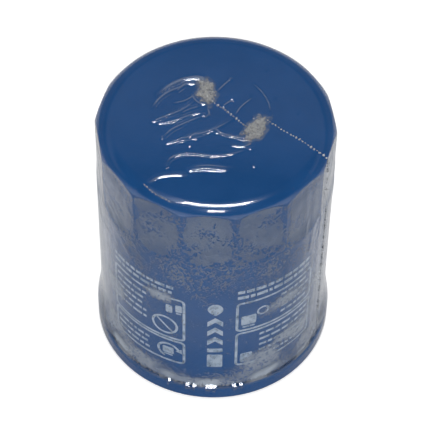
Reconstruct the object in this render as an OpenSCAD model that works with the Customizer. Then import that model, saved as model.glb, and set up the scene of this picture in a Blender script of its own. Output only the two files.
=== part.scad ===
// Spin-on oil filter, standing on its gasket end.
// Origin: centre of the gasket's sealing face. +Z runs along the thread, up to the closed end.
// Sheet-metal parts are rings turned from one bent strip, given by the strip's middle line.

/* [Can] */
// Outside diameter of the can's round wall
can_d = 65.6; // [63:0.2:68]
// Height from the sealing face to the top of the crowned end
can_h = 86.5; // [82:0.5:92]
// Thickness of the drawn can
can_t = 0.4; // [0.3:0.05:0.5]
// Height of the rounded edge of the closed end
edge_h = 3.2; // [2.5:0.1:3.5]
// Width of the rounded edge of the closed end
edge_w = 5; // [4:0.25:6]
// Rise of the closed end's middle over its edge
crown_h = 0.5; // [0.3:0.1:0.8]

/* [Wrench flats] */
// Number of flats pressed round the closed end
flat_count = 14; // [14:1:15]
// Distance across two opposite flats
flat_across = 64; // [63.8:0.1:64.6]
// Length of a flat, from the top down to its faded end
flat_len = 24; // [16:1:26]
// Length of the faded end
flat_fade = 6; // [4:0.5:8]

/* [Seamed cover] */
// Thickness of the cover's sheet
cover_t = 0.45; // [0.35:0.05:0.5]
// Gap between the layers of the rolled seam
seam_gap = 0.02; // [0.01:0.01:0.03]
// Height of the rolled seam
seam_h = 5; // [4.8:0.1:5.6]
// Height of the seam's lowest edge over the sealing face
seam_lift = 1.9; // [1.6:0.1:2.1]
// Inner radius of the cover's flange under the base plate
cover_hole_r = 21; // [20.6:0.1:21.4]
// Number of weld dimples round the flange
weld_count = 8; // [6:1:12]

/* [Gasket] */
// Outside diameter of the gasket
gasket_od = 61.7; // [61.3:0.1:62.5]
// Inside diameter of the gasket
gasket_id = 53.7; // [53.7:0.1:54.1]
// Height of the gasket's section
gasket_h = 5.7; // [5.7:0.05:5.72]

/* [Base plate] */
// Minor diameter of the M20 x 1.5 thread
thread_minor_d = 18.38; // [18.3:0.02:18.6]
// Thickness of the plate
plate_t = 3; // [2.8:0.1:3.2]
// Outside diameter of the plate
plate_d = 60; // [58:0.5:62]
// Outside diameter of the threaded hub
hub_d = 25.2; // [24.6:0.1:25.2]
// Height of the hub's top face
hub_top = 14.3; // [14:0.1:14.4]
// Number of oil inlet holes
inlet_count = 8; // [6:1:8]
// Diameter of an inlet hole
inlet_d = 5.2; // [4:0.2:5.4]
// Radius of the circle of inlet holes
inlet_ring_r = 17.6; // [17.4:0.1:17.8]

/* [Element] */
// Number of pleats
pleat_count = 48; // [40:1:48]
// Thickness of the pleated paper
paper_t = 0.55; // [0.4:0.05:0.6]
// Outside radius of the pleat pack
pack_out_r = 27.6; // [26.5:0.1:27.6]
// Inside radius of the pleat pack
pack_in_r = 12.9; // [12.9:0.05:13.2]
// Thickness of the end caps and of the bypass housing
cap_t = 0.4; // [0.3:0.05:0.4]
// Height of the lower cap's underside
element_z = 15; // [15:0.1:15.2]
// Height of the upper cap's top face
element_top = 73.4; // [73.4:0.1:73.6]
// Rows of holes in the centre tube
tube_rows = 10; // [6:1:12]
// Holes in a row
tube_holes = 8; // [6:1:8]

/* [Bypass valve] */
// Coils of the bypass spring
spring_turns = 5; // [4:0.5:6]
// Wire diameter of the bypass spring
spring_wire = 0.9; // [0.7:0.1:1]
// Depth of the housing below the upper cap
housing_depth = 15; // [14:0.5:16]

/* [Leaf spring] */
// Number of arms
arm_count = 4; // [3:1:6]
// Width of an arm
arm_w = 8; // [6:0.5:9]
// Thickness of the spring steel
leaf_t = 0.6; // [0.4:0.1:0.7]

/* [Wrapper] */
// Thickness of the shrink film
film_t = 0.15; // [0.1:0.05:0.2]
// Gap between the film and the metal
film_gap = 0.03; // [0.02:0.01:0.05]
// Height at which the film leaves the can for the seam
film_bridge_z = 14; // [12:0.5:18]
// Inner radius of the film's hem under the seam
film_hem_r = 32.2; // [31.8:0.1:33]

/* [Hidden] */
round_fn = 128;
eps = 0.01;

// Can and seam: radii of the layers of the lock seam, from the can's wall outwards
can_r = can_d / 2;
can_mid_r = can_r - can_t / 2;
hook_r = can_r + seam_gap + cover_t / 2;
can_hook_r = hook_r + cover_t / 2 + seam_gap + can_t / 2;
seam_mid_r = can_hook_r + can_t / 2 + seam_gap + cover_t / 2;
chuck_r = can_r - can_t - seam_gap - cover_t / 2;
seam_mid_z = seam_lift + cover_t / 2;
seam_top = seam_lift + seam_h;
can_bend_r = (can_hook_r - can_mid_r) / 2;
can_bend_z = seam_lift + cover_t + seam_gap + can_t / 2 + can_bend_r;
flat_r = flat_across / 2;
top_edge_z = can_h - crown_h;
crown_r = can_r - edge_w;

// Cover and plate: the plate lies on the cover's flange, whose underside is the gasket's seat
seat_z = gasket_h + eps;
cover_mid_z = seat_z + cover_t / 2;
plate_z = seat_z + cover_t + seam_gap;
plate_top = plate_z + plate_t;
bead_r = [25, gasket_id / 2 - 0.1 - cover_t / 2];
bead_low_z = 3.2;
thread_r = thread_minor_d / 2;
hub_r = hub_d / 2;
hub_foot_z = 4.6;
thread_z = [hub_foot_z + 1.1, hub_top - 0.6];

// Element: the centre tube stands between the caps, round the caps' inner rims
cap_rim_r = 28.4;
cap_rim_h = 4;
collar_r = 11.6;
collar_h = 3.4;
tube_r = [12, 12.5];
potting_t = 1.9;
potting_r = [tube_r[1] + 0.1, cap_rim_r - cap_t / 2 - 0.1];
media_z = [element_z + cap_t + 0.05 + potting_t + 0.05, element_top - cap_t - 0.05 - potting_t - 0.05];

// Bypass valve: it hangs in the upper cap's collar, seat uppermost, and opens downwards
housing_r = 10.8;
housing_floor_z = element_top - housing_depth;
seat_edge_z = element_top - 1.5;
seat_edge_r = 7;
disc_r = 9;
facing_t = 0.85;
disc_mid_z = seat_edge_z - 0.05 - facing_t - 0.25;
disc_t = 0.45;

// ---- Outlines ----

// Points of an arc about c, from angle a to angle b, in n steps
function arc(c, r, a, b, n = 6) = [
    for (i = [0:n]) let (t = a + (b - a) * i / n) c + r * [cos(t), sin(t)]
];

// Unit normal to the left of the way from p to q
function left_of(p, q) = let (d = q - p) [-d.y, d.x] / norm(d);

// Corner i of a path, moved off by d to the left of the path
function moved(path, i, d) =
    let (n = len(path),
         a = left_of(path[max(i - 1, 0)], path[max(i, 1)]),
         b = left_of(path[min(i, n - 2)], path[min(i + 1, n - 1)]))
    path[i] + d * (a + b) / (1 + a * b);

// Closed outline of a sheet of thickness t along the middle line path
function strip(path, t) = concat(
    [for (i = [0:len(path) - 1]) moved(path, i, t / 2)],
    [for (i = [len(path) - 1:-1:0]) moved(path, i, -t / 2)]
);

// Ring turned from an outline, which is trimmed at the axis
module turned(outline) {
    rotate_extrude($fn = round_fn) polygon([for (p = outline) [max(0, p.x), p.y]]);
}

module around(count, start = 0) {
    for (i = [0:count - 1]) rotate(start + 360 * i / count) children();
}

// Crown of the closed end, lifted by d along Z, from the axis out to radius r
function crown(r, d, n = 8) = [
    for (i = [0:n]) let (x = r * i / n) [x, can_h + d - crown_h * pow(x / crown_r, 2)]
];

// Rounded edge of the closed end, lying d outside the can, from angle a to angle b
function rounded_edge(d, a, b, n = 12) = [
    for (i = [0:n]) let (t = a + (b - a) * i / n)
        [crown_r + (edge_w + d) * cos(t), top_edge_z - edge_h + (edge_h + d) * sin(t)]
];

// ---- Can, cover, plate and gasket ----

// Outside of the closed end down to the height low, at radius can_r - inset
function can_outline(inset, low) = concat(
    [[0, low]],
    [[can_r - inset, low]],
    rounded_edge(-inset, 0, 86),
    [for (i = [7:-1:0]) crown(crown_r, -inset)[i]]
);

// Solid that takes one flat off the can, with its end fading out on an arc
module flat_cutter(inset) {
    fade_x = can_r - flat_r + inset + 0.3;
    low = can_h - flat_len;
    face = flat_r - inset;
    rotate([90, 0, 0])
        linear_extrude(16, center = true)
            polygon(concat(
                [[can_r + 2, can_h + 2], [face, can_h + 2]],
                [for (i = [0:6]) let (s = i / 6) [face + fade_x * s * s, low + flat_fade * (1 - s)]],
                [[can_r + 2, low]]
            ));
}

module can_form(inset, low) {
    difference() {
        turned(can_outline(inset, low));
        around(flat_count, -90) flat_cutter(inset);
    }
}

module can() {
    wall_low = seam_top + 2;
    color("royalblue") {
        difference() {
            can_form(0, wall_low);
            can_form(can_t, wall_low - 1);
        }
        turned(strip(concat(
            [[can_mid_r, wall_low], [can_mid_r, can_bend_z + 0.5]],
            arc([can_mid_r + can_bend_r, can_bend_z], can_bend_r, 180, 360, 8),
            [[can_hook_r, seam_top - 1]]
        ), can_t));
    }
}

module seam_cover() {
    bend = 0.45;
    bead_mid_r = (bead_r[0] + bead_r[1]) / 2;
    bead_half = (bead_r[1] - bead_r[0]) / 2;
    color("royalblue") difference() {
        turned(strip(concat(
            [[cover_hole_r, cover_mid_z]],
            arc([bead_r[0] - bend, cover_mid_z - bend], bend, 90, 0),
            arc([bead_mid_r, bead_low_z], bead_half, 180, 360, 8),
            arc([bead_r[1] + bend, cover_mid_z - bend], bend, 180, 90),
            arc([chuck_r - bend, cover_mid_z - bend], bend, 90, 0),
            arc([chuck_r + 0.6, seam_mid_z + 0.6], 0.6, 180, 270),
            arc([seam_mid_r - 0.6, seam_mid_z + 0.6], 0.6, 270, 360),
            arc([(seam_mid_r + hook_r) / 2, seam_top - cover_t / 2 - (seam_mid_r - hook_r) / 2],
                (seam_mid_r - hook_r) / 2, 0, 180, 8),
            [[hook_r, can_bend_z + 0.6]]
        ), cover_t));
        around(weld_count, 360 / weld_count / 2)
            translate([(cover_hole_r + bead_r[0]) / 2, 0, seat_z - eps])
                cylinder(h = 0.2, r = 0.9, $fn = 32);
    }
}

module base_plate() {
    color("silver") difference() {
        turned([
            [thread_r, thread_z[0]], [thread_r + 1.1, hub_foot_z], [hub_r - 0.6, hub_foot_z],
            [hub_r + 0.6, hub_foot_z + 0.6], [hub_r + 1.4, plate_z],
            [plate_d / 2 - 0.4, plate_z], [plate_d / 2, plate_z + 0.4],
            [plate_d / 2, plate_top - 0.4], [plate_d / 2 - 0.4, plate_top],
            [hub_r + 2, plate_top], [hub_r + 0.6, plate_top + 0.6], [hub_r, plate_top + 2],
            [hub_r, hub_top - 0.4], [hub_r - 0.4, hub_top],
            [thread_r + 0.6, hub_top], [thread_r, thread_z[1]]
        ]);
        around(inlet_count)
            translate([inlet_ring_r, 0, plate_z - 1]) cylinder(h = plate_t + 2, d = inlet_d, $fn = 48);
    }
}

module gasket() {
    soft = 0.5;
    in_r = gasket_id / 2;
    out_r = gasket_od / 2;
    color("dimgray") turned(concat(
        arc([out_r - soft, soft], soft, -90, 0),
        arc([out_r - soft, gasket_h - soft], soft, 0, 90),
        arc([in_r + soft, gasket_h - soft], soft, 90, 180),
        arc([in_r + soft, soft], soft, 180, 270)
    ));
}

// Rubber check valve: a collar round the hub, and a cone whose lip covers the inlet holes
module drain_valve() {
    lip_z = plate_top + 0.05;
    in_r = hub_r + 0.12;
    color("darkorange") turned([
        [in_r, plate_top + 2.4], [hub_r + 2, plate_top + 2.4], [hub_r + 3.2, plate_top + 3.2],
        [20.5, lip_z + 1.9], [25, lip_z], [25.9, lip_z + 0.15], [26.2, lip_z + 0.9],
        [21, lip_z + 3.3], [hub_r + 4.4, element_z - 0.9], [hub_r + 2.6, element_z - 0.02],
        [in_r, element_z - 0.02]
    ]);
}

// ---- Filter element ----

// Cap of the lower end: a disc whose inner and outer rims turn towards the media
function cap_path() = let (mid = cap_t / 2, bend = 0.6) concat(
    [[collar_r, collar_h]],
    arc([collar_r + bend, mid + bend], bend, 180, 270),
    arc([cap_rim_r - bend, mid + bend], bend, 270, 360),
    [[cap_rim_r, cap_rim_h]]
);

module end_cap() {
    turned(strip(cap_path(), cap_t));
}

module lower_end_cap() {
    color("lightgray") translate([0, 0, element_z]) end_cap();
}

module upper_end_cap() {
    color("lightgray") translate([0, 0, element_top]) mirror([0, 0, 1]) end_cap();
}

module centre_tube() {
    low = element_z + cap_t + 0.05;
    high = element_top - cap_t - 0.05;
    pitch = (high - low - 10) / (tube_rows - 1);
    color("silver") difference() {
        translate([0, 0, low]) difference() {
            cylinder(h = high - low, r = tube_r[1], $fn = round_fn);
            translate([0, 0, -1]) cylinder(h = high - low + 2, r = tube_r[0], $fn = round_fn);
        }
        for (row = [0:tube_rows - 1])
            around(tube_holes, row % 2 * 180 / tube_holes)
                translate([tube_r[0] - 2, 0, low + 5 + row * pitch])
                    rotate([0, 90, 0]) cylinder(h = 4, r = 1.5, $fn = 32);
    }
}

// One face of the pleated paper. Each pleat's outer fold is at radius out_r and tip wide each side
// of its middle, and each inner fold is at radius in_r and root wide each side of its middle.
function pleat_face(out_r, tip, in_r, root) = [
    for (i = [0:pleat_count - 1], k = [0:3])
        let (mid = 360 * i / pleat_count + (k > 1 ? 180 / pleat_count : 0),
             r = k > 1 ? in_r : out_r,
             half = (k > 1 ? root : tip) / r * 180 / PI,
             a = mid + (k % 2 == 0 ? -half : half))
        r * [cos(a), sin(a)]
];

module pleated_media() {
    fold_gap = 0.15;
    root_gap = 0.1;
    height = media_z[1] - media_z[0];
    color("khaki") translate([0, 0, media_z[0]]) difference() {
        linear_extrude(height)
            polygon(pleat_face(pack_out_r, fold_gap + paper_t, pack_in_r + paper_t, root_gap));
        translate([0, 0, -1]) linear_extrude(height + 2)
            polygon(pleat_face(pack_out_r - paper_t, fold_gap, pack_in_r, root_gap + paper_t));
    }
}

// Folded strip that holds the two ends of the paper together over one pleat
module media_clip() {
    clip_t = 0.25;
    half = 0.78 + clip_t / 2;
    mid_r = pack_out_r + 0.05 + clip_t / 2;
    color("silver") translate([0, 0, media_z[0] + 0.5])
        linear_extrude(media_z[1] - media_z[0] - 1)
            polygon(strip([[mid_r - 5, -half], [mid_r, -half], [mid_r, half], [mid_r - 5, half]], clip_t));
}

module potting(low) {
    color("indianred") translate([0, 0, low]) difference() {
        cylinder(h = potting_t, r = potting_r[1], $fn = round_fn);
        translate([0, 0, -1]) cylinder(h = potting_t + 2, r = potting_r[0], $fn = round_fn);
    }
}

module lower_potting() {
    potting(element_z + cap_t + 0.05);
}

module upper_potting() {
    potting(element_top - cap_t - 0.05 - potting_t);
}

// ---- Bypass valve ----

module bypass_housing() {
    bend = 0.6;
    window_w = 7;
    window_h = 7;
    color("lightgray") difference() {
        turned(strip(concat(
            [[13.5, element_top + 0.05 + cap_t / 2]],
            arc([housing_r + bend, element_top + 0.05 + cap_t / 2 - bend], bend, 90, 180),
            arc([housing_r - bend, housing_floor_z + bend], bend, 0, -90),
            [[5.5, housing_floor_z]]
        ), cap_t));
        around(4, 45)
            translate([housing_r, 0, housing_floor_z + 1.5 + window_h / 2])
                cube([3, window_w, window_h], center = true);
    }
}

// Ring that closes the housing's mouth, with a turned-down sealing edge
module bypass_seat() {
    color("silver") turned(strip([
        [housing_r - 0.3, element_top - 0.7], [seat_edge_r + 0.6, element_top - 0.7],
        [seat_edge_r, seat_edge_z + 0.1]
    ], 0.5));
}

module bypass_facing() {
    color("dimgray") translate([0, 0, seat_edge_z - 0.05 - facing_t])
        cylinder(h = facing_t, r = disc_r - 0.3, $fn = round_fn);
}

module bypass_disc() {
    color("silver") turned(strip(concat(
        [[0, disc_mid_z]],
        arc([disc_r - 0.5, disc_mid_z - 0.5], 0.5, 90, 0),
        [[disc_r, disc_mid_z - 2]]
    ), disc_t));
}

// Middle line of the coil: its first and last turns lie flat
function coil_point(s, turns, r, low, high) =
    let (a = 360 * turns * s,
         t = max(0, min(1, (turns * s - 0.8) / (turns - 1.6))))
    [r * cos(a), r * sin(a), low + (high - low) * (0.04 * s + 0.96 * t)];

// Tube of radius r along the points, with sides sides
module swept(points, r, sides = 8) {
    n = len(points);
    rings = [
        for (i = [0:n - 1])
            let (d = points[min(i + 1, n - 1)] - points[max(i - 1, 0)],
                 along = d / norm(d),
                 side = cross(along, [0, 0, 1]) / norm(cross(along, [0, 0, 1])),
                 up = cross(side, along))
            for (k = [0:sides - 1])
                let (a = 360 * k / sides) points[i] + r * (cos(a) * side + sin(a) * up)
    ];
    walls = [
        for (i = [0:n - 2], k = [0:sides - 1])
            let (a = i * sides + k, b = i * sides + (k + 1) % sides)
            [a, b, b + sides, a + sides]
    ];
    ends = [[for (k = [sides - 1:-1:0]) k], [for (k = [0:sides - 1]) (n - 1) * sides + k]];
    polyhedron(rings, concat(walls, ends), convexity = 8);
}

module bypass_spring() {
    wire_r = spring_wire / 2;
    low = housing_floor_z + cap_t / 2 + wire_r + 0.05;
    high = disc_mid_z - disc_t / 2 - wire_r - 0.05;
    steps = spring_turns * 20;
    color("gray") swept([for (i = [0:steps]) coil_point(i / steps, spring_turns, 7.2, low, high)], wire_r);
}

// ---- Leaf spring ----

module leaf_spring() {
    low = element_top + cap_t + 0.1;
    mid = low + leaf_t / 2;
    tip_z = can_h - can_t - crown_h * pow(24.5 / crown_r, 2) - 0.1 - leaf_t / 2;
    arm = concat(
        [[10, mid], [13, mid]],
        arc([13, mid + 5], 5, 285, 318),
        arc([24.5, tip_z - 2.5], 2.5, 140, 60)
    );
    color("slategray") {
        translate([0, 0, low]) difference() {
            cylinder(h = leaf_t, r = 13, $fn = round_fn);
            translate([0, 0, -1]) cylinder(h = leaf_t + 2, r = 8, $fn = round_fn);
        }
        around(arm_count, 45)
            rotate([90, 0, 0]) linear_extrude(arm_w, center = true) polygon(strip(arm, leaf_t));
    }
}

// ---- Wrapper ----

module shrink_film() {
    off = film_gap + film_t / 2;
    wall_r = can_r + off;
    seam_r = seam_mid_r + cover_t / 2 + off;
    low = seam_lift - off;
    bend = 0.85;
    color("aliceblue", 0.3) turned(strip(concat(
        crown(crown_r - 0.5, off, 7),
        rounded_edge(off, 86, 0),
        [[wall_r, film_bridge_z], [seam_r, seam_top - 0.2]],
        arc([seam_r - bend, low + bend], bend, 0, -90),
        [[film_hem_r, low]]
    ), film_t));
}

can();
seam_cover();
base_plate();
gasket();
drain_valve();
lower_end_cap();
upper_end_cap();
pleated_media();
media_clip();
centre_tube();
lower_potting();
upper_potting();
bypass_housing();
bypass_seat();
bypass_facing();
bypass_disc();
bypass_spring();
leaf_spring();
shrink_film();
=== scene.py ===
from math import cos, pi, radians, sin

import bmesh
import bpy
import numpy as np
from mathutils import Matrix, Vector


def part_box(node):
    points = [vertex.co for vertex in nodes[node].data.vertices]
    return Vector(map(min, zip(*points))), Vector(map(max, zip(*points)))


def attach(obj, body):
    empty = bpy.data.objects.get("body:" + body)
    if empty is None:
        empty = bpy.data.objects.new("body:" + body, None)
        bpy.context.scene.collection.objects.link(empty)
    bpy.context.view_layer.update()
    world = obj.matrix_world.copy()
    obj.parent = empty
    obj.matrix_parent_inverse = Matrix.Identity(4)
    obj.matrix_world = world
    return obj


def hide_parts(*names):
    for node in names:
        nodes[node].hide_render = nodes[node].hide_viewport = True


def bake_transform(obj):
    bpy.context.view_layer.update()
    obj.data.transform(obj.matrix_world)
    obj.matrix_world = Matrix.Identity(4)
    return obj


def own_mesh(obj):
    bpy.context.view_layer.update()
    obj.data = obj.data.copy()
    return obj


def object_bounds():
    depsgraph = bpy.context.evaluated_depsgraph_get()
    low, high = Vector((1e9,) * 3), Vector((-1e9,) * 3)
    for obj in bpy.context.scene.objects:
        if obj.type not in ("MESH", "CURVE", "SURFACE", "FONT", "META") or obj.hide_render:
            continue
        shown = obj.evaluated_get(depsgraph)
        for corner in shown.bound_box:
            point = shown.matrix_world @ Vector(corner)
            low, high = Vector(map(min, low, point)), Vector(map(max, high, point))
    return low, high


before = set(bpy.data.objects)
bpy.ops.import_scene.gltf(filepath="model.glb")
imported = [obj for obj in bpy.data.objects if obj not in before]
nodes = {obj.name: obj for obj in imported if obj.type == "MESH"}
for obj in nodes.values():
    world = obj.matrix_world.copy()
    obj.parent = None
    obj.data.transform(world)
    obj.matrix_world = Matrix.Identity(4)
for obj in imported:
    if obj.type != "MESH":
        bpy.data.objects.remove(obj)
cad_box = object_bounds()
mm = 0.001


# ---- Pleated paper ----
# The filter medium: resin-stiffened paper folded into a star and bent round into a ring.
# It comes off the pleating machine with a crinkled face, and its folds are cured a little darker.


def add(tree, kind, inputs=None, **settings):
    """One shader node. An input is a plain value or another node's output."""
    made = tree.nodes.new("ShaderNode" + kind)
    for key, value in settings.items():
        setattr(made, key, value)
    for key, value in (inputs or {}).items():
        if isinstance(value, bpy.types.NodeSocket):
            tree.links.new(value, made.inputs[key])
        else:
            made.inputs[key].default_value = value
    return made


def new_finish(name):
    """An empty material, its node tree and its place on the object, in metres."""
    finish = bpy.data.materials.new(name)
    finish.use_nodes = True
    finish.node_tree.nodes.clear()
    return finish, finish.node_tree, add(finish.node_tree, "TexCoord").outputs["Object"]


def calc(tree, operation, a, b=0.0, c=0.0):
    return add(tree, "Math", {0: a, 1: b, 2: c}, operation=operation).outputs[0]


def grain(tree, place, scale, stretch=(1, 1, 1), detail=4.0, rough=0.55):
    """Noise with features about 1 / scale metres across, drawn out along an axis by a small stretch."""
    stretched = add(tree, "Mapping", {"Vector": place, "Scale": stretch}).outputs[0]
    inputs = {"Vector": stretched, "Scale": scale, "Detail": detail, "Roughness": rough}
    made = add(tree, "TexNoise", inputs)
    return made.outputs["Fac"]


def fade(tree, value, low, high, start=0.0, end=1.0):
    """value carried smoothly from the range low to high onto the range start to end."""
    limits = {0: value, 1: low, 2: high, 3: start, 4: end}
    made = add(tree, "MapRange", limits, interpolation_type="SMOOTHSTEP")
    return made.outputs[0]


def tint(tree, share, first, second):
    """A colour between first and second. Either can be a plain colour or a node's output."""
    first, second = [(*c, 1) if isinstance(c, tuple) else c for c in (first, second)]
    made = add(tree, "Mix", {0: share, 6: first, 7: second}, data_type="RGBA")
    return made.outputs[2]


def relief(tree, height, depth, strength=1.0):
    """A bump whose full height is depth, in metres."""
    return add(tree, "Bump", {"Height": height, "Strength": strength, "Distance": depth}).outputs[0]


def close_finish(tree, colour, roughness, normal=None, **constants):
    """Ends a finish in one Principled surface. Plain settings go straight onto its sockets."""
    inputs = {"Base Color": colour, "Roughness": roughness}
    inputs.update({key.replace("_", " "): value for key, value in constants.items()})
    if normal is not None:
        inputs["Normal"] = normal
    surface = add(tree, "BsdfPrincipled", inputs)
    add(tree, "OutputMaterial", {"Surface": surface.outputs[0]})
    return surface


def paint(piece, finish):
    piece.data.materials.clear()
    piece.data.materials.append(finish)


def polar(tree, place):
    """Distance from the filter's axis and angle round it, as outputs."""
    parts = add(tree, "SeparateXYZ", {0: place}).outputs
    squares = [calc(tree, "POWER", parts[i], 2) for i in (0, 1)]
    out = calc(tree, "SQRT", calc(tree, "ADD", *squares))
    return out, calc(tree, "ARCTAN2", parts[1], parts[0]), parts[2]


paper, tree, place = new_finish("filter_paper")
fibres = grain(tree, place, 2600, detail=6)
crinkle = grain(tree, place, 900, stretch=(1, 1, 0.25))
cured = fade(tree, polar(tree, place)[0], 26.4 * mm, 27.4 * mm)
fresh = tint(tree, fibres, (0.62, 0.42, 0.17), (0.84, 0.66, 0.36))
close_finish(
    tree,
    tint(tree, calc(tree, "MULTIPLY", cured, 0.6), fresh, (0.42, 0.25, 0.09)),
    fade(tree, fibres, 0.3, 0.7, 0.75, 0.95),
    relief(tree, calc(tree, "ADD", fibres, crinkle), 0.12 * mm),
)
paint(nodes["pleated_media"], paper)


# ---- Sheet-steel parts of the element ----
# The perforated tube, both pressed caps, the folded clip, and the bypass valve's cup, seat and disc.
# They are tinned or zinc-plated strip, with draw marks round the axis and dull finger-sized clouds.


def sheet_steel(name, dark, light, roughness=0.32, marks=3200):
    steel, tree, place = new_finish(name)
    out, angle, up = polar(tree, place)
    turned = add(tree, "CombineXYZ", {0: out, 1: calc(tree, "MULTIPLY", angle, 0.6 * mm), 2: up}).outputs[0]
    drawn = grain(tree, turned, marks, detail=3)
    clouds = grain(tree, place, 160, detail=3)
    close_finish(
        tree,
        tint(tree, clouds, dark, light),
        calc(tree, "ADD", fade(tree, drawn, 0.35, 0.65, -0.08, 0.1),
             fade(tree, clouds, 0.3, 0.7, roughness, roughness + 0.1)),
        relief(tree, drawn, 0.02 * mm, 0.6),
        Metallic=1.0,
    )
    return steel


tinplate = sheet_steel("tinplate", (0.50, 0.50, 0.48), (0.68, 0.68, 0.66))
tube_steel = sheet_steel("tube_steel", (0.30, 0.30, 0.31), (0.47, 0.47, 0.47), 0.38)
zinc = sheet_steel("zinc_plate", (0.50, 0.49, 0.44), (0.66, 0.66, 0.64), 0.35)
for node in ("lower_end_cap", "upper_end_cap", "media_clip"):
    paint(nodes[node], tinplate)
paint(nodes["centre_tube"], tube_steel)
for node in ("bypass_housing", "bypass_seat", "bypass_disc"):
    paint(nodes[node], zinc)


# ---- Potting rings ----
# The paper's ends are cast into the caps with red-brown plastisol, which is poured and then baked.
# It sets dull, with a slightly dimpled skin and a few darker, thinner places.

plastisol, tree, place = new_finish("potting_plastisol")
pour = grain(tree, place, 300)
dimples = grain(tree, place, 1500, detail=2)
close_finish(
    tree,
    tint(tree, pour, (0.20, 0.035, 0.022), (0.42, 0.09, 0.055)),
    fade(tree, pour, 0.3, 0.7, 0.4, 0.6),
    relief(tree, dimples, 0.15 * mm, 0.7),
)
for node in ("lower_potting", "upper_potting"):
    paint(nodes[node], plastisol)


# ---- Bypass spring ----
# A compression spring of drawn wire, with its first and last coils closed, which holds the valve's disc
# on its seat. Its lower end stands on the cup's floor, so it shortens towards that end.

spring_lo, spring_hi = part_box("bypass_spring")
wire_r = 0.45 * mm
spring_turns = 5


def from_arrays(name, points, faces, smooth=True):
    """A mesh object from points and faces, with its faces turned outwards."""
    mesh = bpy.data.meshes.new(name)
    mesh.from_pydata([tuple(p) for p in points], [], [tuple(int(i) for i in f) for f in faces])
    work = bmesh.new()
    work.from_mesh(mesh)
    bmesh.ops.recalc_face_normals(work, faces=work.faces)
    work.to_mesh(mesh)
    work.free()
    mesh.polygons.foreach_set("use_smooth", [smooth] * len(mesh.polygons))
    piece = bpy.data.objects.new(name, mesh)
    bpy.context.scene.collection.objects.link(piece)
    return piece


def wire(name, path, radii, sides=12):
    """A round wire along path, closed at both ends. radii is one radius, or one for each point."""
    path = np.asarray(path, float)
    radii = np.broadcast_to(np.asarray(radii, float), (len(path),))
    along = np.gradient(path, axis=0)
    along /= np.linalg.norm(along, axis=1)[:, None]
    side = np.cross(along, (0.03, 0.02, 1.0))
    side /= np.linalg.norm(side, axis=1)[:, None]
    over = np.cross(side, along)
    turn = np.arange(sides) * 2 * pi / sides
    ring = np.cos(turn)[None, :, None] * side[:, None] + np.sin(turn)[None, :, None] * over[:, None]
    points = (path[:, None] + ring * radii[:, None, None]).reshape(-1, 3)
    count = len(path)
    faces = [
        (i * sides + k, i * sides + (k + 1) % sides, (i + 1) * sides + (k + 1) % sides, (i + 1) * sides + k)
        for i in range(count - 1)
        for k in range(sides)
    ]
    faces += [tuple(range(sides)), tuple((count - 1) * sides + k for k in range(sides))]
    return from_arrays(name, points, faces)


share = np.linspace(0, 1, 400)
rise = np.clip((spring_turns * share - 0.8) / (spring_turns - 1.6), 0, 1)
turn = 2 * pi * spring_turns * share
coil_r = spring_hi.x - wire_r
low, high = spring_lo.z + wire_r, spring_hi.z - wire_r
coil_z = low + (high - low) * (0.04 * share + 0.96 * rise)
coil = np.c_[coil_r * np.cos(turn), coil_r * np.sin(turn), coil_z]
spring = wire("bypass_coil_spring", coil, wire_r, sides=14)

spring_steel, tree, place = new_finish("spring_wire")
scale_marks = grain(tree, place, 1800)
close_finish(
    tree,
    tint(tree, scale_marks, (0.13, 0.12, 0.12), (0.33, 0.32, 0.31)),
    fade(tree, scale_marks, 0.3, 0.7, 0.28, 0.45),
    relief(tree, grain(tree, place, 5000, detail=2), 0.02 * mm, 0.5),
    Metallic=1.0,
)
paint(spring, spring_steel)
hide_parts("bypass_spring")
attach(spring, "housing")
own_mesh(spring)


# ---- Leaf spring ----
# Four arms of blued spring strip that press the element down from the closed end.
# Stamped, bent and tempered, so it keeps a blue-grey oxide skin that is rubbed bright along its edges.

blued, tree, place = new_finish("blued_strip")
oxide = grain(tree, place, 220, detail=5)
edges = fade(tree, add(tree, "NewGeometry").outputs["Pointiness"], 0.505, 0.56)
skin = tint(tree, oxide, (0.035, 0.045, 0.075), (0.13, 0.15, 0.20))
close_finish(
    tree,
    tint(tree, edges, skin, (0.45, 0.45, 0.45)),
    fade(tree, oxide, 0.3, 0.7, 0.25, 0.42),
    relief(tree, grain(tree, place, 2500, stretch=(1, 1, 0.2)), 0.02 * mm, 0.5),
    Metallic=1.0,
)
paint(nodes["leaf_spring"], blued)


# ---- Rubber facing and drain valve ----
# The disc's rubber facing, and the one-piece rubber check valve whose collar grips the plate's hub and
# whose thin conical lip lies over the oil inlets. The lip lifts when oil flows in; the collar stays.


def rubber(name, dark, light, shine=0.45):
    finish, tree, place = new_finish(name)
    bloom = grain(tree, place, 130, detail=5)
    skin = grain(tree, place, 4200, detail=3)
    close_finish(
        tree,
        tint(tree, fade(tree, bloom, 0.35, 0.7), dark, light),
        fade(tree, bloom, 0.3, 0.7, shine, shine + 0.2),
        relief(tree, skin, 0.03 * mm, 0.6),
    )
    return finish


def lathe(name, outline, steps=192):
    """A ring turned from a closed outline of (radius, height) points, in metres."""
    turn = np.arange(steps) * 2 * pi / steps
    outline = np.asarray(outline, float)
    points = np.stack(
        [
            np.outer(np.cos(turn), outline[:, 0]),
            np.outer(np.sin(turn), outline[:, 0]),
            np.tile(outline[:, 1], (steps, 1)),
        ],
        axis=-1,
    ).reshape(-1, 3)
    count = len(outline)
    faces = [
        (
            i * count + k,
            i * count + (k + 1) % count,
            (i + 1) % steps * count + (k + 1) % count,
            (i + 1) % steps * count + k,
        )
        for i in range(steps)
        for k in range(count)
    ]
    return from_arrays(name, points, faces)


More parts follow.
